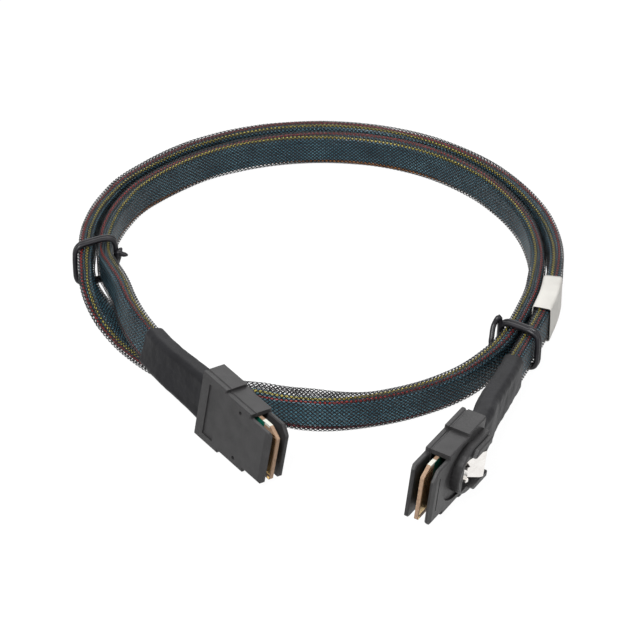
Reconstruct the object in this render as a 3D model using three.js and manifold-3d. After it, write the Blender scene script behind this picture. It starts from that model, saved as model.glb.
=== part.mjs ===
// Internal mini SAS cable: flat ribbons in a braided sleeve, one plug at each end, coiled and tied.
// Millimetres, +Z up. The coil lies on z = 0, the plugs point towards -Y.

import * as THREE from "three";
import { mergeVertices } from "three/addons/utils/BufferGeometryUtils.js";
import Module from "manifold-3d";

const wasm = await Module();
wasm.setup();

// Driving dimensions: the plug

const plugThick = 8.5; // from the plain side to the latch side, without the latch guard
const rearLength = 11.6; // the wide block that the cable enters
const rearWidth = 23.5;
const midLength = 12.4;
const midWidth = 21.5;
const bladeLength = 9.6;
const bladeWidth = 18.8;
const bladeThick = 1.4;
const noseBevel = 2; // the broken front edge of the cover and of the blade
const noseDepth = 0.5;
const shellWall = 1.5;
const coverThick = 1.7;
const fit = 0.3; // gap between pieces that touch
const edge = 0.35; // broken edges of the moulded pieces
const platformHeight = 2.4; // latch platform above the shell's face
const platformHalf = 8.2;
const platformFront = 20.2;
const guardHeight = 4;
const guardHalf = 7.3; // outer side of the latch guard
const padFront = 11.8; // the latch's pressing pad, from the front to its raised rear
const padBack = 6.2;
const padFrontHalf = 3.2;
const padBackHalf = 4.7;
const padRise = 3;
const latchLow = 1; // the latch's flat part above the shell's face
const tongueEnd = 17; // the front end that the shell holds, where the latch bends
const noseEnd = rearLength + midLength + bladeLength;
const midEnd = rearLength + midLength;
const half = plugThick / 2;

// Driving dimensions: the cable

const loopCentre = [0, 22]; // in the photograph's own frame, before originShift
const originShift = [0.55, 3.48, -0.02]; // brings the part's middle to the origin
const sleeveTall = 11.8;
const sleeveThick = 5.3;
const sleeveWall = 0.35;
const cornerCut = 1.2;
const ribbonTall = 8.2;
const ribbonThick = 0.75;
const ribbonPitch = 1.05;
const ribbonCount = 4;
const wireRadius = 0.45;
const wireUp = 4.85; // the sideband wires run along the ribbons' edges
const wireSide = 0.95;
const cableSteps = 78;
const twistFrom = 42; // the steps between which the cable turns over, taken three times as finely
const twistTo = 53;
const plugInset = 4; // how far the ribbons run into each plug
const sleeveInset = 2; // steps from the ribbons' ends to the sleeve's, under the heat shrink
const leftShrink = 3; // steps from the ribbons' end to the heat shrink's far end
const rightShrink = 4;
const shrinkWall = 0.45;
// Heat shrink from the plug inwards, one row per step: thickness, height, corner cut
const shrinkSizes = [
  [6.6, 16, 1.9],
  [6.7, 15, 1.8],
  [6.8, 13.4, 1.6],
  [6.8, 13, 1.6],
];
const labelRows = [6, 7, 7.5]; // the label's ends and middle, in steps from the right end
const labelWall = 0.25;
// The wire ties: where on the coil, the strands' middles, and how far the strands turn off the circle
const leftTie = { angle: 180, innerRadius: 71, outerRadius: 77.1, height: 7.75, turn: 4 };
const rightTie = { angle: -36.5, innerRadius: 75.2, outerRadius: 81.6, height: 7.7, turn: 11 };
// The sideband wires, each on one edge of the outer ribbons: side and up
const wirePlaces = [
  ["yellow", -1, 1],
  ["red", 1, 1],
  ["orange", -1, -1],
  ["crimson", 1, -1],
];

// Where each plug's rear face is centred, and how it is turned: yaw, nose down, lean, in degrees
const leftPlug = { at: [-34.1, -59.7, 12.98], yaw: -51.5, pitch: 4, roll: -8 };
const rightPlug = { at: [45, -80.8, 12], yaw: -118.5, pitch: -5, roll: -4.5 };

// The cable's route round the coil, from the left plug to the right one.
// Each row: angle about loopCentre in degrees, radius, height of the middle, lean of the top inwards in degrees.
const loopRoute = [
  [222, 75.2, 14.1, 18],
  [211, 71.4, 13.6, 12],
  [200, 68.8, 12.7, 6],
  [190, 69.2, 10.6, 2],
  [180, 71, 7.7, 0],
  [168, 72.6, 6.6, 0],
  [155, 73.9, 6.1, 0],
  [142, 74.4, 6, 0],
  [122, 74.1, 6, 0],
  [102, 73.9, 6, 0],
  [82, 74.1, 6, 0],
  [62, 74.4, 6, 0],
  [42, 73.7, 6, 0],
  [22, 72.8, 6, 0],
  [4, 72.1, 6, 0],
  [-13, 71.6, 6.6, 0],
  [-25, 72.6, 7.2, 0],
  [-36.5, 75.2, 7.6, 0],
  [-46, 77, 6.9, 0],
  [-57, 78.3, 6.1, 0],
  [-70, 79.2, 6, 0],
  [-84, 80.2, 6, 0],
  [-94, 79.9, 6, 0],
  [-103, 77.9, 6.2, -12],
  [-111, 75, 6, -38],
  [-119, 72.4, 4.7, -64],
  [-127, 70.9, 3.3, -83],
  [-138, 70.8, 3.3, -86],
  [-148, 71.4, 3.3, -84],
  [-157, 73.2, 4.5, -66],
  [-165, 75, 5.9, -40],
  [-173, 76.3, 6.8, -14],
  [-181, 77.2, 7.5, 0],
  [-193, 78.8, 6.8, 0],
  [-205, 80.2, 6.2, 0],
  [-218, 81, 6, 0],
  [-238, 81.1, 6, 0],
  [-258, 80.9, 6, 0],
  [-278, 80.6, 6, 0],
  [-298, 80.5, 6, 0],
  [-318, 79.7, 6, 0],
  [-338, 78.7, 6.2, 0],
  [-356, 78, 6.7, 0],
  [-373, 77.5, 7, 0],
  [-385, 78.7, 7.3, 0],
  [-396.5, 81.6, 7.6, 0],
  [-405, 86, 8.4, -1],
  [-412, 92.1, 9.6, -2],
  [-419, 100.2, 11, -3],
];
// The straight stretch behind each plug: distance behind its rear face, and the lean there
const leftStraight = [
  [-4, 8],
  [8, 10],
  [22, 16],
];
const rightStraight = [
  [7, -4],
  [-4, -4.5],
];

// Materials, as the finished piece looks

const plastic = new THREE.MeshStandardMaterial({ color: 0x4d4b4c, roughness: 0.5, metalness: 0 });
const steel = new THREE.MeshStandardMaterial({ color: 0xd8d4ce, roughness: 0.25, metalness: 1 });
const boardFinish = new THREE.MeshStandardMaterial({ color: 0x005a40, roughness: 0.4, metalness: 0 });
const shrinkFinish = new THREE.MeshStandardMaterial({ color: 0x2d2d32, roughness: 0.45, metalness: 0 });
const braidFinish = new THREE.MeshStandardMaterial({ color: 0x1c1e22, roughness: 0.6, metalness: 0 });
const ribbonFinish = new THREE.MeshStandardMaterial({ color: 0x3f6477, roughness: 0.4, metalness: 0 });
const tieFinish = new THREE.MeshStandardMaterial({ color: 0x222226, roughness: 0.4, metalness: 0 });
const labelFinish = new THREE.MeshStandardMaterial({ color: 0xd7d4cc, roughness: 0.7, metalness: 0 });
const glueFinish = new THREE.MeshStandardMaterial({ color: 0x8a8578, roughness: 0.6, metalness: 0 });
const wireColours = { yellow: 0xb4a546, red: 0x8c2a30, orange: 0x965a28, crimson: 0x78232d };

// Joining and cutting

function solid(geometry) {
  const bare = new THREE.BufferGeometry();
  const source = geometry.index ? geometry.toNonIndexed() : geometry;
  bare.setAttribute("position", source.getAttribute("position"));
  const merged = mergeVertices(bare, 1e-4);
  const vertProperties = new Float32Array(merged.attributes.position.array);
  const triVerts = new Uint32Array(merged.index.array);
  return new wasm.Manifold(new wasm.Mesh({ numProp: 3, vertProperties, triVerts }));
}

function geometryOf(manifold) {
  const mesh = manifold.getMesh();
  const geometry = new THREE.BufferGeometry();
  const positions = new Float32Array(mesh.numVert * 3);
  for (let i = 0; i < mesh.numVert; i++) {
    positions.set(mesh.vertProperties.subarray(i * mesh.numProp, i * mesh.numProp + 3), i * 3);
  }
  geometry.setAttribute("position", new THREE.BufferAttribute(positions, 3));
  geometry.setIndex(new THREE.BufferAttribute(mesh.triVerts, 1));
  geometry.computeVertexNormals();
  return geometry;
}

function named(name, geometry, material) {
  const mesh = new THREE.Mesh(geometry, material);
  mesh.name = name;
  return mesh;
}

// Shapes in a plug's own frame: X to the nose, Y to the latch side, Z up

function box(x0, x1, y0, y1, z0, z1) {
  const geometry = new THREE.BoxGeometry(x1 - x0, y1 - y0, z1 - z0);
  return geometry.translate((x0 + x1) / 2, (y0 + y1) / 2, (z0 + z1) / 2);
}

function polygon(points) {
  return new THREE.Shape(points.map(([x, y]) => new THREE.Vector2(x, y)));
}

// A flat piece: its outline in X and Z, standing from y0 to y1
function plate(outline, y0, y1, broken = edge) {
  const shape = Array.isArray(outline) ? polygon(outline) : outline;
  const geometry = new THREE.ExtrudeGeometry(shape, {
    depth: y1 - y0 - 2 * broken,
    bevelEnabled: broken > 0,
    bevelThickness: broken,
    bevelSize: broken,
    bevelOffset: -broken,
    bevelSegments: 1,
    curveSegments: 8,
  });
  return geometry.rotateX(Math.PI / 2).translate(0, y1 - broken, 0);
}

function mirrored(points, lower = points) {
  const below = lower.map(([x, z]) => [x, -z]).reverse();
  return [...below, ...points];
}

// The plug's outline seen from its flat side, with the blade's upper and lower corners cut off
function plugOutline(upperCut, lowerCut) {
  const side = (cut) => [
    [noseEnd, bladeWidth / 2 - cut],
    [noseEnd - cut, bladeWidth / 2],
    [midEnd, bladeWidth / 2],
    [midEnd, midWidth / 2],
    [rearLength, midWidth / 2],
    [rearLength, rearWidth / 2],
    [0, rearWidth / 2],
  ];
  return mirrored(side(upperCut), side(lowerCut));
}

function archShape(back, spring, front, halfWidth) {
  const shape = new THREE.Shape();
  shape.moveTo(back, -halfWidth);
  shape.lineTo(spring, -halfWidth);
  shape.absellipse(spring, 0, front - spring, halfWidth, -Math.PI / 2, Math.PI / 2, false);
  shape.lineTo(back, halfWidth);
  shape.closePath();
  return shape;
}

// What is cut from the front edge of a plate whose outer face is at y = side * half
function frontEdge(side) {
  const past = 0.2;
  const wedge = polygon([
    [noseEnd - (1 + past) * noseBevel, side * (half + past * noseDepth)],
    [noseEnd + past * noseBevel, side * (half + past * noseDepth)],
    [noseEnd + past * noseBevel, side * (half - (1 + past) * noseDepth)],
  ]);
  const bar = new THREE.ExtrudeGeometry(wedge, { depth: rearWidth, bevelEnabled: false });
  return solid(bar.translate(0, 0, -rearWidth / 2));
}

// The pieces of one plug

function coverPlate() {
  const recessStart = 3.9;
  const recessEnd = 8.9;
  const recessHalf = 9.2;
  const recessDepth = 0.4;
  const pinRadius = 0.65;
  const pinAlong = 19.4;
  const pinUp = 8.4;
  let made = solid(plate(plugOutline(1, 1), -half, -half + coverThick));
  made = made.subtract(
    solid(box(recessStart, recessEnd, -half - 1, -half + recessDepth, -recessHalf, recessHalf)),
  );
  for (const side of [-1, 1]) {
    const pin = new THREE.CylinderGeometry(pinRadius, pinRadius, 3, 12);
    made = made.subtract(solid(pin.translate(pinAlong, -half, side * pinUp)));
  }
  made = made.subtract(frontEdge(-1));
  return geometryOf(made);
}

function latchShell() {
  const upperCut = 2.8;
  const lowerCut = 1.2;
  const inner = -half + coverThick + fit; // where the side walls end, against the cover
  const doorHalf = 5.8; // half width of the rear opening
  const doorDepth = 2.4;
  const roomBack = 3.6;
  const troughFront = 26;
  const troughHalf = 8.9;
  const troughSpring = 14;
  const troughDepth = 0.7;
  const slotAlong = 29.3;
  const slotHalf = 6;
  const slotWide = 0.5;
  const slotDepth = 0.5;
  const platformBack = 1.2;
  const platformSpring = 11;
  const guardFront = 13.4;
  const guardShoulder = 11;
  const guardBack = 2.2;
  const guardInner = 5.2;
  const past = 1; // how far a cutting shape runs past what it cuts
  const pocketHalf = 5.3; // the well under the latch pad
  const pocketFront = 17.4;
  const pocketFloor = half - 0.2;
  const block = mirrored([
    [midEnd, midWidth / 2],
    [rearLength, midWidth / 2],
    [rearLength, rearWidth / 2],
    [0, rearWidth / 2],
  ]);
  let made = solid(plate(block, inner, half));
  made = made.add(solid(plate(plugOutline(upperCut, lowerCut), half - bladeThick, half)));
  // the room inside, open at the mouth
  const roomHalf = midWidth / 2 - shellWall;
  made = made.subtract(
    solid(box(roomBack, noseEnd, inner - past, half - bladeThick, -roomHalf, roomHalf)),
  );
  // the door that the ribbons enter by
  const door = box(-past, roomBack + past, inner - past, doorDepth, -doorHalf, doorHalf);
  made = made.subtract(solid(door));
  // the trough round the latch platform, the platform, and the guard on both sides of the pad
  const trough = archShape(rearLength, troughSpring, troughFront, troughHalf);
  made = made.subtract(solid(plate(trough, half - troughDepth, half + past, 0)));
  const platform = archShape(platformBack, platformSpring, platformFront, platformHalf);
  made = made.add(solid(plate(platform, half - bladeThick, half + platformHeight)));
  const guard = mirrored([
    [guardFront, guardInner],
    [guardShoulder, guardHalf],
    [guardBack, guardHalf],
    [guardBack, guardInner],
  ]);
  made = made.add(solid(plate(guard, half - bladeThick, half + guardHeight)));
  made = made.subtract(
    solid(box(-past, pocketFront, pocketFloor, 2 * plugThick, -pocketHalf, pocketHalf)),
  );
  // the pin slot near the blade's front
  made = made.subtract(
    solid(box(slotAlong, slotAlong + slotWide, half - slotDepth, half + past, -slotHalf, slotHalf)),
  );
  made = made.subtract(frontEdge(1));
  return geometryOf(made);
}

function paddleCard() {
  const cardThick = 1.2;
  const cardBack = 7.2;
  const cardHalf = 8.9;
  const upperCut = 2.4;
  const upperLong = 3.8;
  const lowerCut = 0.5;
  const cardFront = noseEnd - 0.3;
  const side = (cut, long) => [
    [cardFront, cardHalf - cut],
    [cardFront - long, cardHalf],
    [cardBack, cardHalf],
  ];
  const outline = mirrored(side(upperCut, upperLong), side(lowerCut, lowerCut));
  return plate(outline, -cardThick / 2, cardThick / 2, 0.1);
}

// The poured block that holds the ribbons' ends on the card
function strainBlock() {
  const blockFront = 7.1;
  const blockBack = 4.9;
  const blockHalf = 8.9;
  const outline = mirrored([
    [blockFront, blockHalf],
    [blockBack, blockHalf],
  ]);
  return plate(outline, -2.2, 2.5, 0.2);
}

// The stamped latch: a pad that rises to the rear, with two hooks in front of it
function latchSpring() {
  const sheet = 0.45;
  const low = half + latchLow;
  const hookBack = 13;
  const hookReach = 15.6;
  const hookHeight = 1.9;
  const hookAt = 2.3;
  const hookWide = 1;
  const side = polygon([
    [padBack, low + padRise],
    [padFront, low],
    [tongueEnd, low],
    [tongueEnd, low + sheet],
    [padFront + 0.1, low + sheet],
    [padBack + 0.3, low + padRise + sheet],
  ]);
  const strip = new THREE.ExtrudeGeometry(side, { depth: 2 * padBackHalf, bevelEnabled: false });
  let made = solid(strip.translate(0, 0, -padBackHalf));
  const plan = mirrored([
    [tongueEnd + 1, padFrontHalf],
    [padFront, padFrontHalf],
    [padBack + 1.4, padBackHalf],
    [padBack - 1, padBackHalf],
  ]);
  made = made.intersect(solid(plate(plan, 0, half + 12, 0)));
  const tooth = polygon([
    [hookBack, low + 0.1],
    [hookReach, low + 0.1],
    [hookReach - 0.2, low + 0.84 * hookHeight],
    [hookReach - 1.2, low + hookHeight],
  ]);
  for (const turn of [-1, 1]) {
    const hook = new THREE.ExtrudeGeometry(tooth, { depth: hookWide, bevelEnabled: false });
    made = made.add(solid(hook.translate(0, 0, turn * hookAt - hookWide / 2)));
  }
  return geometryOf(made);
}

function makePlug(side, place) {
  const group = new THREE.Group();
  group.add(named(side + "_plug_cover", coverPlate(), plastic));
  group.add(named(side + "_latch_shell", latchShell(), plastic));
  group.add(named(side + "_paddle_card", paddleCard(), boardFinish));
  group.add(named(side + "_strain_block", strainBlock(), glueFinish));
  group.add(named(side + "_latch_spring", latchSpring(), steel));
  group.position.set(...place.at);
  const turn = [place.roll, place.pitch, place.yaw].map(THREE.MathUtils.degToRad);
  group.rotation.set(...turn, "ZYX");
  group.updateMatrixWorld(true);
  return group;
}

// The cable's route: a smooth curve through its points, with a lean that follows the same points

class CableCurve extends THREE.CatmullRomCurve3 {
  constructor(points, leans) {
    super(points, false, "catmullrom", 0.5);
    this.leans = leans;
    this.arcLengthDivisions = 1200;
  }

  leanAt(u) {
    const place = this.getUtoTmapping(u) * (this.leans.length - 1);
    const i = Math.min(Math.floor(place), this.leans.length - 2);
    return THREE.MathUtils.degToRad(
      THREE.MathUtils.lerp(this.leans[i], this.leans[i + 1], place - i),
    );
  }

  // Upright frames: the normal lies across the cable, the binormal runs up its tall side
  frameAt(u) {
    const tangent = this.getTangentAt(u);
    const across = new THREE.Vector3(0, 0, 1).cross(tangent).normalize();
    across.applyAxisAngle(tangent, this.leanAt(u));
    return { tangent, normal: across, binormal: tangent.clone().cross(across) };
  }
}

function behind(place, distance) {
  const turn = [place.roll, place.pitch, place.yaw].map(THREE.MathUtils.degToRad);
  const nose = new THREE.Vector3(1, 0, 0).applyEuler(new THREE.Euler(...turn, "ZYX"));
  return new THREE.Vector3(...place.at).addScaledVector(nose, -distance);
}

function cableRoute() {
  const points = leftStraight.map(([distance]) => behind(leftPlug, distance));
  const leans = leftStraight.map(([, lean]) => lean);
  for (const [angle, radius, height, lean] of loopRoute) {
    const a = THREE.MathUtils.degToRad(angle);
    points.push(
      new THREE.Vector3(
        loopCentre[0] + radius * Math.cos(a),
        loopCentre[1] + radius * Math.sin(a),
        height,
      ),
    );
    leans.push(lean);
  }
  for (const [distance, lean] of rightStraight) {
    points.push(behind(rightPlug, distance));
    leans.push(lean);
  }
  return new CableCurve(points, leans);
}

// A rectangle with cut corners, across and up
function cutRectangle(thick, tall, cut) {
  const a = thick / 2;
  const b = tall / 2;
  return [
    [a, b - cut],
    [a - cut, b],
    [cut - a, b],
    [-a, b - cut],
    [-a, cut - b],
    [cut - a, -b],
    [a - cut, -b],
    [a, cut - b],
  ];
}

const route = cableRoute();
const routeLength = route.getLength();

// The route's stations, counted in steps
const stations = [];
for (let step = 0; step <= cableSteps; step++) {
  stations.push(step);
  if (step >= twistFrom && step < twistTo) stations.push(step + 1 / 3, step + 2 / 3);
}

function placed(points, step) {
  const centre = route.getPointAt(step / cableSteps);
  const { normal, binormal } = route.frameAt(step / cableSteps);
  return points.map(([x, y]) =>
    centre.clone().addScaledVector(normal, x).addScaledVector(binormal, y),
  );
}

// A skin through sections that follow the route. Each section: its step, its outline and, for
// a tube, its inner outline. The diagonals all run the same way, so parallel pieces stay apart.
function skin(sections) {
  const positions = [];
  const quad = (a, b, c, d) => {
    for (const p of [a, b, c, a, c, d]) positions.push(p.x, p.y, p.z);
  };
  const rank = ([x, y]) => 100 * y + x;
  const rows = sections.map(([step, ...outlines]) => ({
    outlines,
    rings: outlines.map((outline) => placed(outline, step)),
  }));
  const hollow = rows[0].rings.length > 1;
  const sides = rows[0].rings[0].length;
  for (let j = 0; j < sides; j++) {
    const k = (j + 1) % sides;
    for (let i = 0; i + 1 < rows.length; i++) {
      rows[i].rings.forEach((ring, layer) => {
        const next = rows[i + 1].rings[layer];
        const [p, q] = layer ? [k, j] : [j, k];
        const outline = rows[i].outlines[layer];
        if (rank(outline[p]) < rank(outline[q])) quad(ring[p], ring[q], next[q], next[p]);
        else quad(next[p], ring[p], ring[q], next[q]);
      });
    }
    if (!hollow) continue;
    const [firstOuter, firstInner] = rows[0].rings;
    const [lastOuter, lastInner] = rows[rows.length - 1].rings;
    quad(firstOuter[k], firstOuter[j], firstInner[j], firstInner[k]);
    quad(lastOuter[j], lastOuter[k], lastInner[k], lastInner[j]);
  }
  if (!hollow) {
    const [first] = rows[0].rings;
    const [last] = rows[rows.length - 1].rings;
    for (let j = 1; j + 1 < sides; j++) {
      for (const p of [first[0], first[j + 1], first[j]]) positions.push(p.x, p.y, p.z);
      for (const p of [last[0], last[j], last[j + 1]]) positions.push(p.x, p.y, p.z);
    }
  }
  const geometry = new THREE.BufferGeometry();
  geometry.setAttribute("position", new THREE.Float32BufferAttribute(positions, 3));
  geometry.computeVertexNormals();
  return geometry;
}

// The same section all along, from one step to another
function swept(outlines, from, to) {
  const within = stations.filter((step) => step >= from && step <= to);
  return skin(within.map((step) => [step, ...outlines]));
}

// Steps counted from either end
function fromStart(steps) {
  return steps;
}

function fromEnd(steps) {
  return cableSteps - steps;
}

// The pieces of the cable

function tubeOutlines(thick, tall, cut, wall) {
  return [
    cutRectangle(thick, tall, cut),
    cutRectangle(thick - 2 * wall, tall - 2 * wall, cut - 0.6 * wall),
  ];
}

function braidedSleeve() {
  const outlines = tubeOutlines(sleeveThick, sleeveTall, cornerCut, sleeveWall);
  return swept(outlines, sleeveInset, cableSteps - sleeveInset);
}

function ribbon(index) {
  const middle = (index - (ribbonCount - 1) / 2) * ribbonPitch;
  const a = ribbonThick / 2;
  const b = ribbonTall / 2;
  const outline = [
    [middle + a, -b],
    [middle + a, b],
    [middle - a, b],
    [middle - a, -b],
  ];
  return swept([outline], 0, cableSteps);
}

function sidebandWire(side, up) {
  const sides = 5;
  const outline = [];
  for (let i = 0; i < sides; i++) {
    const turn = (2 * Math.PI * i) / sides;
    outline.push([
      side * wireSide + wireRadius * Math.cos(turn),
      up * wireUp + wireRadius * Math.sin(turn),
    ]);
  }
  return swept([outline], 0, cableSteps);
}

// A tube round the cable whose section changes. Rows: step, thickness, height, corner cut.
function collar(rows, wall, place) {
  const sections = rows.map(([step, ...size]) => [place(step), ...tubeOutlines(...size, wall)]);
  return skin(sections.sort((one, other) => one[0] - other[0]));
}

// Heat shrink: it grips the sleeve and widens to the plug
function heatShrink(steps, place) {
  const atPlug = ((plugInset + fit) * cableSteps) / routeLength;
  const rows = [];
  for (let step = 0; step <= steps; step++) {
    const size = shrinkSizes[Math.min(step, shrinkSizes.length - 1)];
    rows.push([step || atPlug, ...size]);
  }
  return collar(rows, shrinkWall, place);
}

// A wire tie: two rounds about both strands, its ends side by side on the inner side
function wireTie({ angle, innerRadius, outerRadius, height, turn: offCircle }) {
  const wire = 0.55;
  const rounds = 2;
  const perRound = 24;
  const power = 5; // a squarish round that follows the two strands
  const slack = 0.6;
  const halfAcross = (outerRadius - innerRadius + sleeveThick) / 2 + slack + wire;
  const halfUp = sleeveTall / 2 + slack + wire;
  const spread = 4.4;
  const tail = 5;
  const up = new THREE.Vector3(0, 0, 1);
  const onCoil = new THREE.Vector3((innerRadius + outerRadius) / 2, 0, height);
  onCoil.applyAxisAngle(up, THREE.MathUtils.degToRad(angle));
  const centre = onCoil.add(new THREE.Vector3(loopCentre[0], loopCentre[1], 0));
  const outward = new THREE.Vector3(1, 0, 0);
  outward.applyAxisAngle(up, THREE.MathUtils.degToRad(angle + offCircle));
  const along = up.clone().cross(outward);
  const at = (across, rise, shift) =>
    centre.clone().addScaledVector(outward, across).addScaledVector(along, shift).addScaledVector(up, rise);
  const points = [
    at(-halfAcross - tail, 3.6, -0.9),
    at(-halfAcross - 0.5 * tail, 2.4, -1.1),
  ];
  for (let i = 0; i <= rounds * perRound; i++) {
    const turn = Math.PI + (i / perRound) * 2 * Math.PI;
    const c = Math.cos(turn);
    const s = Math.sin(turn);
    const size = Math.pow(Math.abs(c) ** power + Math.abs(s) ** power, -1 / power);
    const shift = spread * (i / (rounds * perRound) - 0.5);
    points.push(at(halfAcross * c * size, -halfUp * s * size, shift));
  }
  points.push(at(-halfAcross - 0.5 * tail, 1.6, 1.1), at(-halfAcross - tail, 2.2, 0.9));
  const extrudePath = new THREE.CatmullRomCurve3(points);
  const shape = new THREE.Shape();
  shape.absarc(0, 0, wire, 0, 2 * Math.PI);
  const section = new THREE.Shape(shape.getSpacedPoints(6).slice(0, 6));
  return new THREE.ExtrudeGeometry(section, { steps: 64, extrudePath, bevelEnabled: false });
}

// The blank wrap label on the outer strand
function wrapLabel() {
  const thick = sleeveThick + 2 * (fit + labelWall);
  const tall = sleeveTall + 2 * (fit + labelWall);
  const rows = labelRows.map((step) => [step, thick, tall, cornerCut]);
  return collar(rows, labelWall, fromEnd);
}

const root = new THREE.Group();
root.add(named("braided_sleeve", braidedSleeve(), braidFinish));
for (let i = 0; i < ribbonCount; i++) {
  root.add(named("ribbon_" + (i + 1), ribbon(i), ribbonFinish));
}
for (const [name, side, up] of wirePlaces) {
  const finish = new THREE.MeshStandardMaterial({ color: wireColours[name], roughness: 0.4 });
  root.add(named("wire_" + name, sidebandWire(side, up), finish));
}
root.add(named("left_heat_shrink", heatShrink(leftShrink, fromStart), shrinkFinish));
root.add(named("right_heat_shrink", heatShrink(rightShrink, fromEnd), shrinkFinish));
root.add(named("left_wire_tie", wireTie(leftTie), tieFinish));
root.add(named("right_wire_tie", wireTie(rightTie), tieFinish));
root.add(named("wrap_label", wrapLabel(), labelFinish));
root.add(makePlug("left", leftPlug), makePlug("right", rightPlug));
root.position.set(...originShift);

export default root;
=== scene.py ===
import math

import bpy
import numpy as np
from mathutils import Matrix, Vector, noise


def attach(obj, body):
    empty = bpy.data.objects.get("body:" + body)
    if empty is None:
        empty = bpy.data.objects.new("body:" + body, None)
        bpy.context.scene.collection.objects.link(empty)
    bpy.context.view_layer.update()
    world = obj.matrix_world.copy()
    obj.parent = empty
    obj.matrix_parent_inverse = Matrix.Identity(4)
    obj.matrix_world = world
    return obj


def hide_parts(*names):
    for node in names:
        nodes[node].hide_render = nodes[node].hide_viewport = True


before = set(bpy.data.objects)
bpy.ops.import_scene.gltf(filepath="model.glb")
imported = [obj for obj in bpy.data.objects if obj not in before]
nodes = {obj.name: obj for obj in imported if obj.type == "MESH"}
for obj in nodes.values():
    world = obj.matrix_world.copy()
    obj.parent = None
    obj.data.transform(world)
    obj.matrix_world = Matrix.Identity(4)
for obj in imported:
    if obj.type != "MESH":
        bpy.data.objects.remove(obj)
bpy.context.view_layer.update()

# Camera, from above the front of the coil

view = {"target": (0.00055, 0.00348, 0.0), "distance": 1.0, "elevation": 35.5, "lens": 172.6}
tilt = math.radians(view["elevation"])
cameraData = bpy.data.cameras.new("camera")
cameraData.lens = view["lens"]
cameraData.sensor_width = 36
camera = bpy.data.objects.new("camera", cameraData)
camera.location = Vector(view["target"]) + view["distance"] * Vector((0, -math.cos(tilt), math.sin(tilt)))
camera.rotation_euler = (math.pi / 2 - tilt, 0, 0)
bpy.context.scene.collection.objects.link(camera)
bpy.context.scene.camera = camera

# The cable's route, as in the solids: angle round the coil, radius, height, lean of the top inwards

shift = Vector((0.00055, 0.00348, -0.00002))
loopCentre = (0.0, 0.022)
loopRoute = [
    (222, 0.0752, 0.0141, 18), (211, 0.0714, 0.0136, 12), (200, 0.0688, 0.0127, 6),
    (190, 0.0692, 0.0106, 2), (180, 0.071, 0.0077, 0), (168, 0.0726, 0.0066, 0),
    (155, 0.0739, 0.0061, 0), (142, 0.0744, 0.006, 0), (122, 0.0741, 0.006, 0),
    (102, 0.0739, 0.006, 0), (82, 0.0741, 0.006, 0), (62, 0.0744, 0.006, 0),
    (42, 0.0737, 0.006, 0), (22, 0.0728, 0.006, 0), (4, 0.0721, 0.006, 0),
    (-13, 0.0716, 0.0066, 0), (-25, 0.0726, 0.0072, 0), (-36.5, 0.0752, 0.0076, 0),
    (-46, 0.077, 0.0069, 0), (-57, 0.0783, 0.0061, 0), (-70, 0.0792, 0.006, 0),
    (-84, 0.0802, 0.006, 0), (-94, 0.0799, 0.006, 0), (-103, 0.0779, 0.0062, -12),
    (-111, 0.075, 0.006, -38), (-119, 0.0724, 0.0047, -64), (-127, 0.0709, 0.0033, -83),
    (-138, 0.0708, 0.0033, -86), (-148, 0.0714, 0.0033, -84), (-157, 0.0732, 0.0045, -66),
    (-165, 0.075, 0.0059, -40), (-173, 0.0763, 0.0068, -14), (-181, 0.0772, 0.0075, 0),
    (-193, 0.0788, 0.0068, 0), (-205, 0.0802, 0.0062, 0), (-218, 0.081, 0.006, 0),
    (-238, 0.0811, 0.006, 0), (-258, 0.0809, 0.006, 0), (-278, 0.0806, 0.006, 0),
    (-298, 0.0805, 0.006, 0), (-318, 0.0797, 0.006, 0), (-338, 0.0787, 0.0062, 0),
    (-356, 0.078, 0.0067, 0), (-373, 0.0775, 0.007, 0), (-385, 0.0787, 0.0073, 0),
    (-396.5, 0.0816, 0.0076, 0), (-405, 0.086, 0.0084, -1), (-412, 0.0921, 0.0096, -2),
    (-419, 0.1002, 0.011, -3),
]
leftStraight = [(-0.004, 8), (0.008, 10), (0.022, 16)]
rightStraight = [(0.007, -4), (-0.004, -4.5)]
plugPlaces = {
    "left": {"at": (-0.0341, -0.0597, 0.01298), "yaw": -51.5, "pitch": 4, "roll": -8},
    "right": {"at": (0.045, -0.0808, 0.012), "yaw": -118.5, "pitch": -5, "roll": -4.5},
}


def plugMatrix(side):
    place = plugPlaces[side]
    turn = (
        Matrix.Rotation(math.radians(place["yaw"]), 4, "Z")
        @ Matrix.Rotation(math.radians(place["pitch"]), 4, "Y")
        @ Matrix.Rotation(math.radians(place["roll"]), 4, "X")
    )
    return Matrix.Translation(Vector(place["at"]) + shift) @ turn


def behindPlug(side, distance):
    return plugMatrix(side) @ Vector((-distance, 0, 0))


def routeRows():
    rows = [(*behindPlug("left", d), lean) for d, lean in leftStraight]
    for angle, radius, height, lean in loopRoute:
        a = math.radians(angle)
        x = loopCentre[0] + radius * math.cos(a) + shift.x
        y = loopCentre[1] + radius * math.sin(a) + shift.y
        rows.append((x, y, height + shift.z, lean))
    return rows + [(*behindPlug("right", d), lean) for d, lean in rightStraight]


perSpan = 40  # points between two rows


# A smooth line through the points, with any further columns carried along straight
def smoothLine(points, perSpan=perSpan):
    points = np.array(points, float)
    ends = np.vstack([2 * points[0] - points[1], points, 2 * points[-1] - points[-2]])
    t = np.linspace(0, 1, perSpan, endpoint=False)[:, None]
    line = []
    for i in range(len(points) - 1):
        a, b, c, d = ends[i:i + 4]
        bend, twist = 2 * a - 5 * b + 4 * c - d, 3 * b - a - 3 * c + d
        span = 0.5 * (2 * b + (c - a) * t + bend * t**2 + twist * t**3)
        span[:, 3:] = b[3:] + (c[3:] - b[3:]) * t
        line.append(span)
    return np.vstack(line + [points[-1:]])


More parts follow.
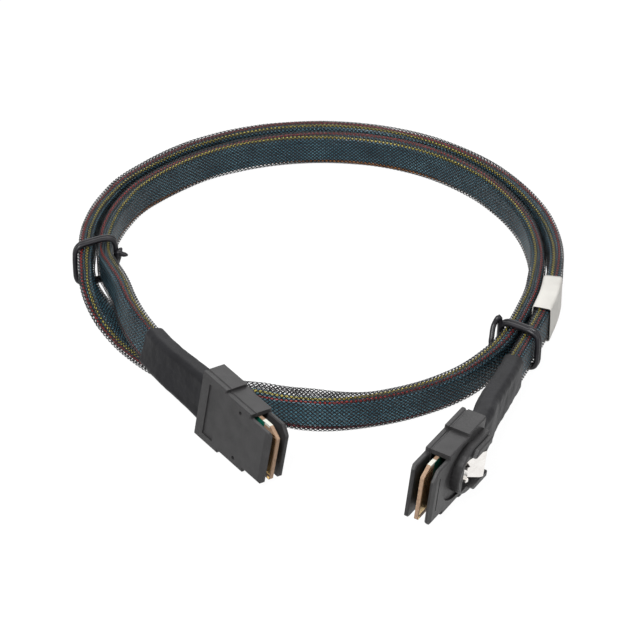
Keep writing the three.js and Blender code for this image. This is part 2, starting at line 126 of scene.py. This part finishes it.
routeLine = smoothLine(routeRows())
routeAlong = np.concatenate([[0], np.cumsum(np.linalg.norm(np.diff(routeLine[:, :3], axis=0), axis=1))])
routeLength = routeAlong[-1]
stepLength = routeLength / 78  # the solids' step, in which the heat shrink and the label are placed


# How far along the route a row's angle is reached
def alongAt(angle):
    reached = [routeAlong[perSpan * (len(leftStraight) + i)] for i in range(len(loopRoute))]
    return float(np.interp(-angle, [-row[0] for row in loopRoute], reached))


def unit(v):
    return v / np.linalg.norm(v, axis=-1, keepdims=True)


# Centre, across, up and ahead, for each distance from the left end
def routeFrames(distances):
    at = lambda d: np.stack([np.interp(d, routeAlong, routeLine[:, k]) for k in range(4)], axis=-1)
    here = at(distances)
    reach = 0.001  # how far before and after a point its direction is taken
    after, before = at(np.minimum(distances + reach, routeLength)), at(np.maximum(distances - reach, 0))
    ahead = unit(after[..., :3] - before[..., :3])
    across = unit(np.cross(np.array([0, 0, 1.0]), ahead))
    up = np.cross(ahead, across)
    lean = np.radians(here[..., 3])[..., None]
    leaned = across * np.cos(lean) + up * np.sin(lean)
    return here[..., :3], leaned, np.cross(ahead, leaned), ahead


# Points on a rectangle with round corners, and their outward directions, by share of the way round
def roundedBox(share, thick, tall, corner):
    share = np.mod(share, 1)
    flatSide, flatTop, arc = tall - 2 * corner, thick - 2 * corner, math.pi / 2 * corner
    whole = 2 * (flatSide + flatTop) + 4 * arc
    d = share * whole
    x, y, nx, ny = (np.zeros_like(d) for _ in range(4))
    start = np.zeros_like(d)
    # up the right side, round its corner, along the top, and so on
    for quarter, length in enumerate((flatSide, flatTop, flatSide, flatTop)):
        turn = quarter * math.pi / 2
        cx = (thick / 2 - corner) * (1, -1, -1, 1)[quarter]
        cy = (tall / 2 - corner) * (1, 1, -1, -1)[quarter]
        on = (d >= start) & (d <= start + length)
        dirX, dirY = math.cos(turn), math.sin(turn)
        back = start + length - d
        x = np.where(on, cx + corner * dirX + back * dirY, x)
        y = np.where(on, cy + corner * dirY - back * dirX, y)
        nx, ny = np.where(on, dirX, nx), np.where(on, dirY, ny)
        start = start + length
        on = (d > start) & (d < start + arc)
        angle = turn + (d - start) / corner
        x = np.where(on, cx + corner * np.cos(angle), x)
        y = np.where(on, cy + corner * np.sin(angle), y)
        nx, ny = np.where(on, np.cos(angle), nx), np.where(on, np.sin(angle), ny)
        start = start + arc
    return x, y, nx, ny


def newPiece(name, points, faces, smooth):
    mesh = bpy.data.meshes.new(name)
    mesh.from_pydata(points, [], faces)
    mesh.polygons.foreach_set("use_smooth", [smooth] * len(mesh.polygons))
    mesh.update()
    piece = bpy.data.objects.new(name, mesh)
    bpy.context.scene.collection.objects.link(piece)
    return piece


# A mesh from rows of points. closed joins each row's ends, capped fills the first and last row
def gridMesh(name, points, closed=True, capped=True):
    rows, count = points.shape[:2]
    index = np.arange(rows * count).reshape(rows, count)
    nextIndex = np.roll(index, -1, axis=1) if closed else index[:, 1:]
    here = index if closed else index[:, :-1]
    faces = np.stack([here[:-1], nextIndex[:-1], nextIndex[1:], here[1:]], axis=-1).reshape(-1, 4).tolist()
    if closed and capped:
        faces.append(index[0][::-1].tolist())
        faces.append(index[-1].tolist())
    return newPiece(name, points.reshape(-1, 3).tolist(), faces, True)


# Section points carried along the route: x across and y up, one row per distance
def alongRoute(distances, x, y):
    centre, across, up, _ = routeFrames(distances)
    return centre[:, None] + across[:, None] * x[..., None] + up[:, None] * y[..., None]


# Materials


# A plain surface whose tone wanders between two near colours, with a fine bump
def surface(
    name, dark, light, roughness, grain, metallic=0.0, bump=0.0, bumpScale=None, coat=0.0, specular=0.5,
):
    material = bpy.data.materials.new(name)
    material.use_nodes = True
    tree = material.node_tree
    shader = tree.nodes["Principled BSDF"]
    shader.inputs["Roughness"].default_value = roughness
    shader.inputs["Metallic"].default_value = metallic
    shader.inputs["Specular IOR Level"].default_value = specular
    shader.inputs["Coat Weight"].default_value = coat
    place = tree.nodes.new("ShaderNodeTexCoord")
    tone = tree.nodes.new("ShaderNodeTexNoise")
    tone.inputs["Scale"].default_value = grain
    tone.inputs["Detail"].default_value = 4
    ramp = tree.nodes.new("ShaderNodeValToRGB")
    ramp.color_ramp.elements[0].position = 0.3
    ramp.color_ramp.elements[0].color = (*dark, 1)
    ramp.color_ramp.elements[1].position = 0.7
    ramp.color_ramp.elements[1].color = (*light, 1)
    tree.links.new(place.outputs["Object"], tone.inputs["Vector"])
    tree.links.new(tone.outputs["Fac"], ramp.inputs["Fac"])
    tree.links.new(ramp.outputs["Color"], shader.inputs["Base Color"])
    if bump:
        fine = tree.nodes.new("ShaderNodeTexNoise")
        fine.inputs["Scale"].default_value = bumpScale
        fine.inputs["Detail"].default_value = 3
        lift = tree.nodes.new("ShaderNodeBump")
        lift.inputs["Strength"].default_value = bump
        lift.inputs["Distance"].default_value = 0.0002  # metres from the deepest grain to the highest
        tree.links.new(place.outputs["Object"], fine.inputs["Vector"])
        tree.links.new(fine.outputs["Fac"], lift.inputs["Height"])
        tree.links.new(lift.outputs["Normal"], shader.inputs["Normal"])
    return material


finishes = {
    "braid": surface("braid", (0.006, 0.006, 0.007), (0.013, 0.013, 0.015), 0.42, 400, specular=0.16),
    "ribbon": surface(
        "ribbon", (0.050, 0.150, 0.210), (0.150, 0.340, 0.430),
        0.25, 120, coat=0.2, bump=0.1, bumpScale=900,
    ),
    "heatShrink": surface(
        "heatShrink", (0.006, 0.006, 0.007), (0.013, 0.013, 0.015),
        0.5, 120, bump=0.6, bumpScale=700, specular=0.14,
    ),
    "plugPlastic": surface(
        "plugPlastic", (0.025, 0.0245, 0.025), (0.036, 0.035, 0.036),
        0.4, 260, bump=0.35, bumpScale=5200, specular=0.2,
    ),
    "latchSteel": surface(
        "latchSteel", (0.78, 0.75, 0.72), (0.90, 0.88, 0.85),
        0.22, 500, metallic=1.0, bump=0.1, bumpScale=3000,
    ),
    "cardMask": surface("cardMask", (0.002, 0.075, 0.045), (0.004, 0.105, 0.070), 0.3, 700, coat=0.3),
    "cardCore": surface("cardCore", (0.22, 0.135, 0.085), (0.34, 0.225, 0.145), 0.7, 1500),
    "cardEnd": surface("cardEnd", (0.52, 0.52, 0.46), (0.62, 0.62, 0.56), 0.5, 900),
    "gold": surface("gold", (0.70, 0.46, 0.16), (0.83, 0.58, 0.24), 0.25, 900, metallic=1.0),
    "glue": surface("glue", (0.20, 0.19, 0.16), (0.30, 0.28, 0.24), 0.5, 300),
    "tie": surface("tie", (0.006, 0.006, 0.008), (0.014, 0.013, 0.016), 0.3, 300, specular=0.25),
    "label": surface(
        "label", (0.50, 0.485, 0.455), (0.60, 0.585, 0.55),
        0.65, 120, bump=0.15, bumpScale=1500,
    ),
    "wireYellow": surface("wireYellow", (0.52, 0.44, 0.06), (0.68, 0.58, 0.10), 0.35, 200),
    "wireRed": surface("wireRed", (0.36, 0.022, 0.024), (0.50, 0.040, 0.036), 0.35, 200),
    "wireOrange": surface("wireOrange", (0.45, 0.15, 0.025), (0.58, 0.21, 0.045), 0.35, 200),
    "wireCrimson": surface("wireCrimson", (0.24, 0.016, 0.030), (0.34, 0.030, 0.045), 0.35, 200),
}


def dress(piece, finish, body, slot, *replaced):
    piece.data.materials.clear()
    piece.data.materials.append(finishes[finish])
    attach(piece, body)
    if replaced:
        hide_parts(*replaced)
    return piece


# The braided sleeve: flat bundles of filament that spiral both ways, over and under each other.
# It is looser along the front, from the first two angles to the second two.

sleeve = {
    "thick": 0.0051, "tall": 0.0114, "corner": 0.0016,
    "carriers": 24, "lead": 0.034, "bundle": 0.00037, "weave": 0.00012,
    "samplesPerCrossing": 2, "endInset": 2, "ripple": 0.00008,
    "looseFrom": (-76, -93), "looseTo": (-104, -124), "looseTall": 0.0028, "looseRise": 0.0014,
}


# Thickness, height and how far the middle rides up, where the sleeve is looser along the front
def sleeveSize(distances):
    turns = [alongAt(angle) for angle in sleeve["looseFrom"] + sleeve["looseTo"]]
    loose = np.interp(distances, turns, [0, 1, 1, 0])
    loose = loose * loose * (3 - 2 * loose)
    ripple = sleeve["ripple"] * (0.875 * np.sin(distances * 210) + np.sin(distances * 97 + 1))
    thick = sleeve["thick"] + ripple
    tall = sleeve["tall"] + sleeve["looseTall"] * loose - abs(ripple)
    return thick, tall, sleeve["looseRise"] * loose


def braidDirection(name, way):
    crossings = 2 * sleeve["carriers"] / sleeve["lead"]
    inset = sleeve["endInset"] * stepLength
    count = int((routeLength - 2 * inset) * crossings * sleeve["samplesPerCrossing"])
    distances = np.linspace(inset, routeLength - inset, count)
    thick, tall, rise = sleeveSize(distances)
    centre, across, up, ahead = routeFrames(distances)
    over = way * np.cos(math.pi * crossings * distances) * sleeve["weave"]
    perimeter = 2 * (tall + thick) - 1.7 * sleeve["corner"]  # round corners are shorter than square ones
    slant = np.arctan2(perimeter, sleeve["lead"])
    strips = []
    for carrier in range(sleeve["carriers"]):
        share = carrier / sleeve["carriers"] + way * distances / sleeve["lead"]
        rows = []
        for side in (-1, 1):
            # a bundle's width lies across its own slant
            shiftShare = side * sleeve["bundle"] / 2 * np.cos(slant) / perimeter
            shiftAlong = -way * side * sleeve["bundle"] / 2 * np.sin(slant)
            x, y, nx, ny = roundedBox(share + shiftShare, thick, tall, sleeve["corner"])
            x, y = x + nx * over, y + ny * over + rise
            rows.append(centre + across * x[:, None] + up * y[:, None] + ahead * shiftAlong[:, None])
        strips.append(np.stack(rows, axis=1))
    points = np.concatenate(strips)
    index = np.arange(len(points) * 2).reshape(sleeve["carriers"], -1, 2)
    faces = np.stack([index[:, :-1, 0], index[:, :-1, 1], index[:, 1:, 1], index[:, 1:, 0]], axis=-1)
    return newPiece(name, points.reshape(-1, 3).tolist(), faces.reshape(-1, 4).tolist(), True)


braidRight = dress(braidDirection("braidRight", 1), "braid", "cable", "braid", "braided_sleeve")
braidLeft = dress(braidDirection("braidLeft", -1), "braid", "cable", "braid")
print("braid", len(braidRight.data.polygons) * 4, "triangles in both directions")

# The ribbons: flat films with round wires moulded into them

ribbon = {
    "count": 4, "tall": 0.0086, "pitch": 0.00105, "web": 0.0003, "ribs": 5, "rib": 0.00045, "wander": 0.00018,
}


# One ribbon's outline, up one side and down the other, scalloped over its wires
def ribbonOutline():
    samples = 6 * ribbon["ribs"]
    y = np.linspace(-ribbon["tall"] / 2, ribbon["tall"] / 2, samples + 1)
    wave = np.abs(np.sin(np.linspace(0, ribbon["ribs"] * math.pi, samples + 1)))
    half = ribbon["web"] / 2 + (ribbon["rib"] - ribbon["web"] / 2) * np.sqrt(wave)
    return np.concatenate([half, -half[::-1]]), np.concatenate([y, y[::-1]])


ribbonStations = np.linspace(0, routeLength, 360)
outlineX, outlineY = ribbonOutline()
for i in range(ribbon["count"]):
    middle = (i - (ribbon["count"] - 1) / 2) * ribbon["pitch"]
    wander = ribbon["wander"] * np.sin(ribbonStations * 61 + i * 1.7)[:, None]
    rise = sleeveSize(ribbonStations)[2][:, None] * 0.5
    x = middle + outlineX[None, :] + wander * 0.3
    points = alongRoute(ribbonStations, x, outlineY[None, :] + wander + rise)
    piece = gridMesh("ribbonFilm%d" % (i + 1), points)
    dress(piece, "ribbon", "cable", "ribbon", "ribbon_%d" % (i + 1))
print("ribbons")

# The coloured sideband wires along the ribbons' edges

wires = {
    "radius": 0.00043, "wander": 0.00035,
    "yellow": {"across": -0.00095, "up": 0.00485, "finish": "wireYellow"},
    "red": {"across": 0.00095, "up": 0.00485, "finish": "wireRed"},
    "orange": {"across": -0.00095, "up": -0.00485, "finish": "wireOrange"},
    "crimson": {"across": 0.00095, "up": -0.00485, "finish": "wireCrimson"},
}
circle = np.linspace(0, 2 * math.pi, 8, endpoint=False)
wireStations = np.linspace(0, routeLength, 420)
for i, colour in enumerate(("yellow", "red", "orange", "crimson")):
    wire = wires[colour]
    wander = wires["wander"] * np.sin(wireStations * (47 + 9 * i) + i)
    x = wire["across"] + wander[:, None] + wires["radius"] * np.cos(circle)
    y = wire["up"] + 0.5 * wander[:, None] + wires["radius"] * np.sin(circle)
    piece = gridMesh("wire" + colour.capitalize(), alongRoute(wireStations, x, y))
    dress(piece, wire["finish"], "cable", "wire_" + colour, "wire_" + colour)
print("wires")

# Heat shrink from each plug over the sleeve's end

shrink = {"wall": 0.00045, "sides": 110, "rows": 110, "wrinkle": 0.00022, "folds": 170, "creases": 420}


def wrinkleAt(point):
    folds, creases = (noise.noise(Vector(point * shrink[word])) for word in ("folds", "creases"))
    return shrink["wrinkle"] * (folds + 0.5 * creases)


# rows: distance from the cable's end, thickness, height, corner
def shrinkPiece(name, rows, fromLeft):
    rows = np.array(rows)
    distances = np.linspace(rows[0, 0], rows[-1, 0], shrink["rows"])
    eased = smoothLine(rows, 30)
    thick, tall, corner = (np.interp(distances, eased[:, 0], eased[:, k])[:, None] for k in (1, 2, 3))
    share = np.linspace(0, 1, shrink["sides"], endpoint=False)[None, :]
    along = distances if fromLeft else routeLength - distances
    layers = []
    for inner in (0, 1):
        cut = 2 * shrink["wall"] * inner
        whole = (len(along), shrink["sides"])
        size = [np.broadcast_to(v, whole) for v in (thick - cut, tall - cut, corner - cut / 2)]
        x, y, nx, ny = roundedBox(np.broadcast_to(share, whole), *size)
        points = alongRoute(along, x, y)
        lift = alongRoute(along, x + nx, y + ny) - points
        wrinkles = np.array([[wrinkleAt(point) for point in row] for row in points])
        layers.append(points + lift * wrinkles[..., None])
    outer, inside = layers
    ring = np.concatenate([outer, inside[::-1], outer[:1]])
    return gridMesh(name, ring if fromLeft else ring[:, ::-1], capped=False)


leftRows = [
    (0.0043, 0.0066, 0.0160, 0.0022), (0.0119, 0.0067, 0.0150, 0.0022),
    (0.0238, 0.0068, 0.0134, 0.0022), (0.0357, 0.0067, 0.0129, 0.0022),
]
rightRows = leftRows + [(0.0476, 0.0066, 0.0127, 0.0022)]
leftShrink = shrinkPiece("heatShrinkLeft", leftRows, True)
rightShrink = shrinkPiece("heatShrinkRight", rightRows, False)
dress(leftShrink, "heatShrink", "cable", "heat_shrink", "left_heat_shrink")
dress(rightShrink, "heatShrink", "cable", "heat_shrink", "right_heat_shrink")
print("heat shrink")

# Wire ties: thick coated wire wound slantwise round both strands. start and end run on from the winding:
# each point is across (outwards), up, and along the strand, from the tie's middle.

ties = {
    "radius": 0.00085, "rounds": 2, "perRound": 28, "power": 4.5, "slack": 0.0003,
    "left": {
        "angle": 180, "turn": 4, "inner": 0.071, "outer": 0.0771, "height": 0.00775,
        "slant": 0.0028, "topShift": -0.0012, "shift": -0.0014, "spread": 0.0026,
        "start": [(-0.0087, 0.0020, -0.0050), (-0.0080, 0.0012, -0.0042), (-0.0077, -0.0004, -0.0034)],
        "end": [(-0.0072, 0.0012, -0.0030), (-0.0090, 0.0006, -0.0032), (-0.0107, 0.0003, -0.0030)],
    },
    "right": {
        "angle": -36.5, "turn": 11, "inner": 0.0752, "outer": 0.0816, "height": 0.0077,
        "slant": -0.0012, "topShift": 0.0006, "shift": 0.0006, "spread": 0.0030,
        "start": [
            (-0.0071, 0.0010, -0.0064), (-0.0074, 0.0035, -0.0046),
            (-0.0080, 0.0064, -0.0016), (-0.0068, 0.0082, 0.0004),
        ],
        "end": [(-0.0072, -0.0010, -0.0020), (-0.0071, 0.0004, -0.0046)],
    },
}


# A round bar through the points of a line
def tube(name, line, radius, sides=12):
    line = np.array(line, float)
    ahead = unit(np.gradient(line, axis=0))
    side = unit(np.cross(ahead, [0.13, 0.27, 0.95]))
    other = np.cross(ahead, side)
    angles = np.linspace(0, 2 * math.pi, sides, endpoint=False)
    ring = side[:, None] * np.cos(angles)[None, :, None] + other[:, None] * np.sin(angles)[None, :, None]
    # the ends are rounded off
    place = np.arange(len(line))
    nearEnd = np.minimum(place, len(line) - 1 - place)
    radii = radius * np.sqrt(np.clip((nearEnd + 0.4) / 4, 0, 1))
    return gridMesh(name, line[:, None] + ring * radii[:, None, None])


def wireTie(side):
    tie = ties[side]
    onCoil = math.radians(tie["angle"])
    a = onCoil + math.radians(tie["turn"])
    outward = np.array([math.cos(a), math.sin(a), 0])
    along = np.array([-math.sin(a), math.cos(a), 0])
    reach = (tie["inner"] + tie["outer"]) / 2
    middle = np.array([
        loopCentre[0] + shift.x + reach * math.cos(onCoil),
        loopCentre[1] + shift.y + reach * math.sin(onCoil),
        tie["height"] + shift.z,
    ])
    halfAcross = (tie["outer"] - tie["inner"] + sleeve["thick"]) / 2 + ties["slack"] + ties["radius"]
    halfUp = sleeve["tall"] / 2 + ties["slack"] + ties["radius"]
    place = lambda across, up, on: middle + outward * across + along * on + np.array([0, 0, up])
    points = []
    total = ties["rounds"] * ties["perRound"]
    for i in range(total + 1):
        turn = math.pi * 0.8 + 2 * math.pi * i / ties["perRound"]
        c, s = math.cos(turn), -math.sin(turn)
        size = (abs(c) ** ties["power"] + abs(s) ** ties["power"]) ** (-1 / ties["power"])
        on = tie["shift"] + tie["slant"] * c + tie["topShift"] * s + tie["spread"] * (i / total - 0.5)
        points.append(place(halfAcross * c * size, halfUp * s * size, on))
    start = [place(*point) for point in tie["start"]]
    end = [place(*point) for point in tie["end"]]
    return tube("wireTie" + side.capitalize(), smoothLine(start + points + end, 5), ties["radius"])


for side in ("left", "right"):
    dress(wireTie(side), "tie", "cable", "tie", side + "_wire_tie")
print("ties")

# The blank wrap label on the outer strand

# from and to are steps from the right end, size is thickness, height and corner
label = {
    "from": 6.5, "to": 8.1, "wall": 0.00022, "rows": 24, "sides": 80, "size": (0.0063, 0.0127, 0.0009),
}


def wrapLabel():
    distances = routeLength - np.linspace(label["from"], label["to"], label["rows"]) * stepLength
    whole = (label["rows"], label["sides"])
    share = np.linspace(0, 1, label["sides"], endpoint=False)
    size = [np.full(whole, v) for v in label["size"]]
    x, y, nx, ny = roundedBox(np.broadcast_to(share, whole), *size)
    outer = alongRoute(distances, x, y)
    inner = alongRoute(distances, x - nx * label["wall"], y - ny * label["wall"])
    ring = np.concatenate([outer, inner[::-1], outer[:1]])
    return gridMesh("blankLabel", ring[:, ::-1], capped=False)


dress(wrapLabel(), "label", "cable", "label", "wrap_label")
print("label")

# The plugs: the solids' own shapes with broken edges, the joint between their halves, and the card

plug = {
    "half": 0.00425, "coverThick": 0.0017, "rearLength": 0.0116, "rearHalf": 0.01175,
    "midEnd": 0.024, "midHalf": 0.01075,
    "jointInset": 0.0003, "jointThick": 0.0004, "jointUnder": 0.00005, "edge": 0.00012,
    "finishes": {
        "plug_cover": "plugPlastic", "latch_shell": "plugPlastic", "latch_spring": "latchSteel",
        "strain_block": "glue",
    },
}
card = {
    "back": 0.0072, "front": 0.0333, "half": 0.0089, "thick": 0.0012, "corner": 0.0005,
    "mask": 0.00005, "maskBack": 0.0074, "maskFront": 0.0268, "maskInset": 0.0002,
    "upperCut": 0.0024, "upperLong": 0.0038,
    "fingers": 18, "pitch": 0.0008, "fingerWide": 0.0005, "fingerBack": 0.0274, "fingerFront": 0.0329,
    "endBack": 0.0258, "endFront": 0.0293, "endTall": 0.0007, "endProud": 0.00005, "endSkin": 0.00004,
    "cutGap": 0.0004, "padLong": 0.0009, "padFrom": 0.0002, "padTo": 0.0010,
}

for side in ("left", "right"):
    for node, finish in plug["finishes"].items():
        piece = nodes[side + "_" + node]
        piece.data.materials.clear()
        piece.data.materials.append(finishes[finish])
        if node != "strain_block":
            bevel = piece.modifiers.new("edges", "BEVEL")
            bevel.width = plug["edge"]
            bevel.segments = 2
            bevel.limit_method = "ANGLE"
            bevel.angle_limit = math.radians(35)


# Flat pieces in a plug's own frame: outlines in X and Z, each standing from low to high in Y
def flatPieces(name, side, outlines, low, high):
    frameOfPlug = plugMatrix(side)
    corners, faces = [], []
    for outline in outlines:
        first, n = len(corners), len(outline)
        corners += [frameOfPlug @ Vector((x, y, z)) for y in (low, high) for x, z in outline]
        faces.append([first + i for i in range(n)])
        faces.append([first + n + i for i in reversed(range(n))])
        faces += [[first + (i + 1) % n, first + i, first + n + i, first + n + (i + 1) % n] for i in range(n)]
    return newPiece(name, [tuple(corner) for corner in corners], faces, False)


def rectangle(back, front, low, high):
    return [(back, low), (front, low), (front, high), (back, high)]


# Where a finger that reaches up to high ends: before the card's slanted corner
def fingerEnd(high):
    intoCut = max(0, (high - card["half"]) / card["upperCut"] + 1)
    return min(card["fingerFront"], card["front"] - card["cutGap"] - card["upperLong"] * intoCut)


for side in ("left", "right"):
    sideWord = side.capitalize()
    inset = plug["jointInset"]
    rear, rearHalf = plug["rearLength"] - inset, plug["rearHalf"] - inset
    end, midHalf = plug["midEnd"] - inset, plug["midHalf"] - inset
    joint = [(inset, -rearHalf), (rear, -rearHalf), (rear, -midHalf), (end, -midHalf),
             (end, midHalf), (rear, midHalf), (rear, rearHalf), (inset, rearHalf)]
    low = plug["coverThick"] - plug["half"] - plug["jointUnder"]
    filling = flatPieces("plugJoint" + sideWord, side, [joint], low, low + plug["jointThick"])
    dress(filling, "plugPlastic", "cable", "plug_plastic")

    half, corner, front = card["half"], card["corner"], card["front"]
    board = [(card["back"], -half), (front - corner, -half), (front, corner - half),
             (front, half - card["upperCut"]), (front - card["upperLong"], half), (card["back"], half)]
    face = card["thick"] / 2
    core = flatPieces("cardCore" + sideWord, side, [board], -face, face)
    dress(core, "cardCore", "cable", "card", side + "_paddle_card")
    maskHalf = half - card["maskInset"]
    maskArea = rectangle(card["maskBack"], card["maskFront"], -maskHalf, maskHalf)
    first = -(card["fingers"] - 1) / 2 * card["pitch"]
    middles = [first + i * card["pitch"] for i in range(card["fingers"])]
    wide = card["fingerWide"] / 2
    fingers = [rectangle(card["fingerBack"], fingerEnd(z + wide), z - wide, z + wide) for z in middles]
    padBack, padFront = card["fingerFront"] - card["padLong"], card["fingerFront"]
    fingers.append(rectangle(padBack, padFront, card["padFrom"] - half, card["padTo"] - half))
    for way, word in ((1, "Upper"), (-1, "Lower")):
        low, high = sorted((way * face, way * (face + card["mask"])))
        mask = flatPieces("cardMask" + word + sideWord, side, [maskArea], low, high)
        dress(mask, "cardMask", "cable", "card")
        contacts = flatPieces("cardFingers" + word + sideWord, side, fingers, low, high)
        dress(contacts, "gold", "cable", "card")
    ending = rectangle(card["endBack"], card["endFront"], half - card["endTall"], half + card["endProud"])
    pale = flatPieces("cardEnd" + sideWord, side, [ending], -face - card["endSkin"], face + card["endSkin"])
    dress(pale, "cardEnd", "cable", "card")
print("plugs")

# Floor, backdrop and light

studio = {
    "floorSize": 6, "floorTone": 0.55, "floorBright": 0.86, "seenStrength": 1.12, "worldStrength": 0.2,
    "lamps": [  # name, place, size, power
        ("key", (-0.3, -0.55, 0.9), 0.4, 13),
        ("fill", (0.6, -0.6, 0.6), 0.8, 4),
        ("back", (0.1, 0.8, 0.8), 0.6, 4),
    ],
}


# Camera, glossy and transmission rays see a bright white, other rays see the plain shader
def mixBright(tree, plain, kind, share, output):
    bright = tree.nodes.new(kind)
    bright.inputs["Color"].default_value = (1, 1, 1, 1)
    bright.inputs["Strength"].default_value = studio["seenStrength"]
    path = tree.nodes.new("ShaderNodeLightPath")
    total = path.outputs["Is Camera Ray"]
    for name in ("Is Glossy Ray", "Is Transmission Ray"):
        add = tree.nodes.new("ShaderNodeMath")
        add.operation = "MAXIMUM"
        tree.links.new(total, add.inputs[0])
        tree.links.new(path.outputs[name], add.inputs[1])
        total = add.outputs[0]
    part = tree.nodes.new("ShaderNodeMath")
    part.operation = "MULTIPLY"
    part.inputs[1].default_value = share
    tree.links.new(total, part.inputs[0])
    mix = tree.nodes.new("ShaderNodeMixShader")
    tree.links.new(part.outputs[0], mix.inputs["Fac"])
    tree.links.new(plain, mix.inputs[1])
    tree.links.new(bright.outputs[0], mix.inputs[2])
    tree.links.new(mix.outputs[0], output.inputs["Surface"])


bpy.ops.mesh.primitive_plane_add(size=studio["floorSize"], location=(0, 0, -0.0002))
floor = bpy.context.object
floor.name = "floor"
white = bpy.data.materials.new("whiteFloor")
white.use_nodes = True
tree = white.node_tree
shader = tree.nodes["Principled BSDF"]
shader.inputs["Base Color"].default_value = (*[studio["floorTone"]] * 3, 1)
shader.inputs["Roughness"].default_value = 0.9
shader.inputs["Specular IOR Level"].default_value = 0.1
surfaceOut = tree.nodes["Material Output"]
mixBright(tree, shader.outputs["BSDF"], "ShaderNodeEmission", studio["floorBright"], surfaceOut)
floor.data.materials.append(white)

world = bpy.data.worlds.new("studio")
bpy.context.scene.world = world
world.use_nodes = True
tree = world.node_tree
soft = tree.nodes["Background"]
soft.inputs["Color"].default_value = (1, 1, 1, 1)
soft.inputs["Strength"].default_value = studio["worldStrength"]
mixBright(tree, soft.outputs["Background"], "ShaderNodeBackground", 1, tree.nodes["World Output"])


def areaLight(name, place, size, power):
    data = bpy.data.lights.new(name, "AREA")
    data.size = size
    data.energy = power
    lamp = bpy.data.objects.new(name, data)
    lamp.location = place
    lamp.rotation_euler = (-Vector(place)).to_track_quat("-Z", "Y").to_euler()  # towards the coil
    bpy.context.scene.collection.objects.link(lamp)


for lamp in studio["lamps"]:
    areaLight(*lamp)
print("studio")
bpy.context.scene.view_settings.view_transform = "Standard"
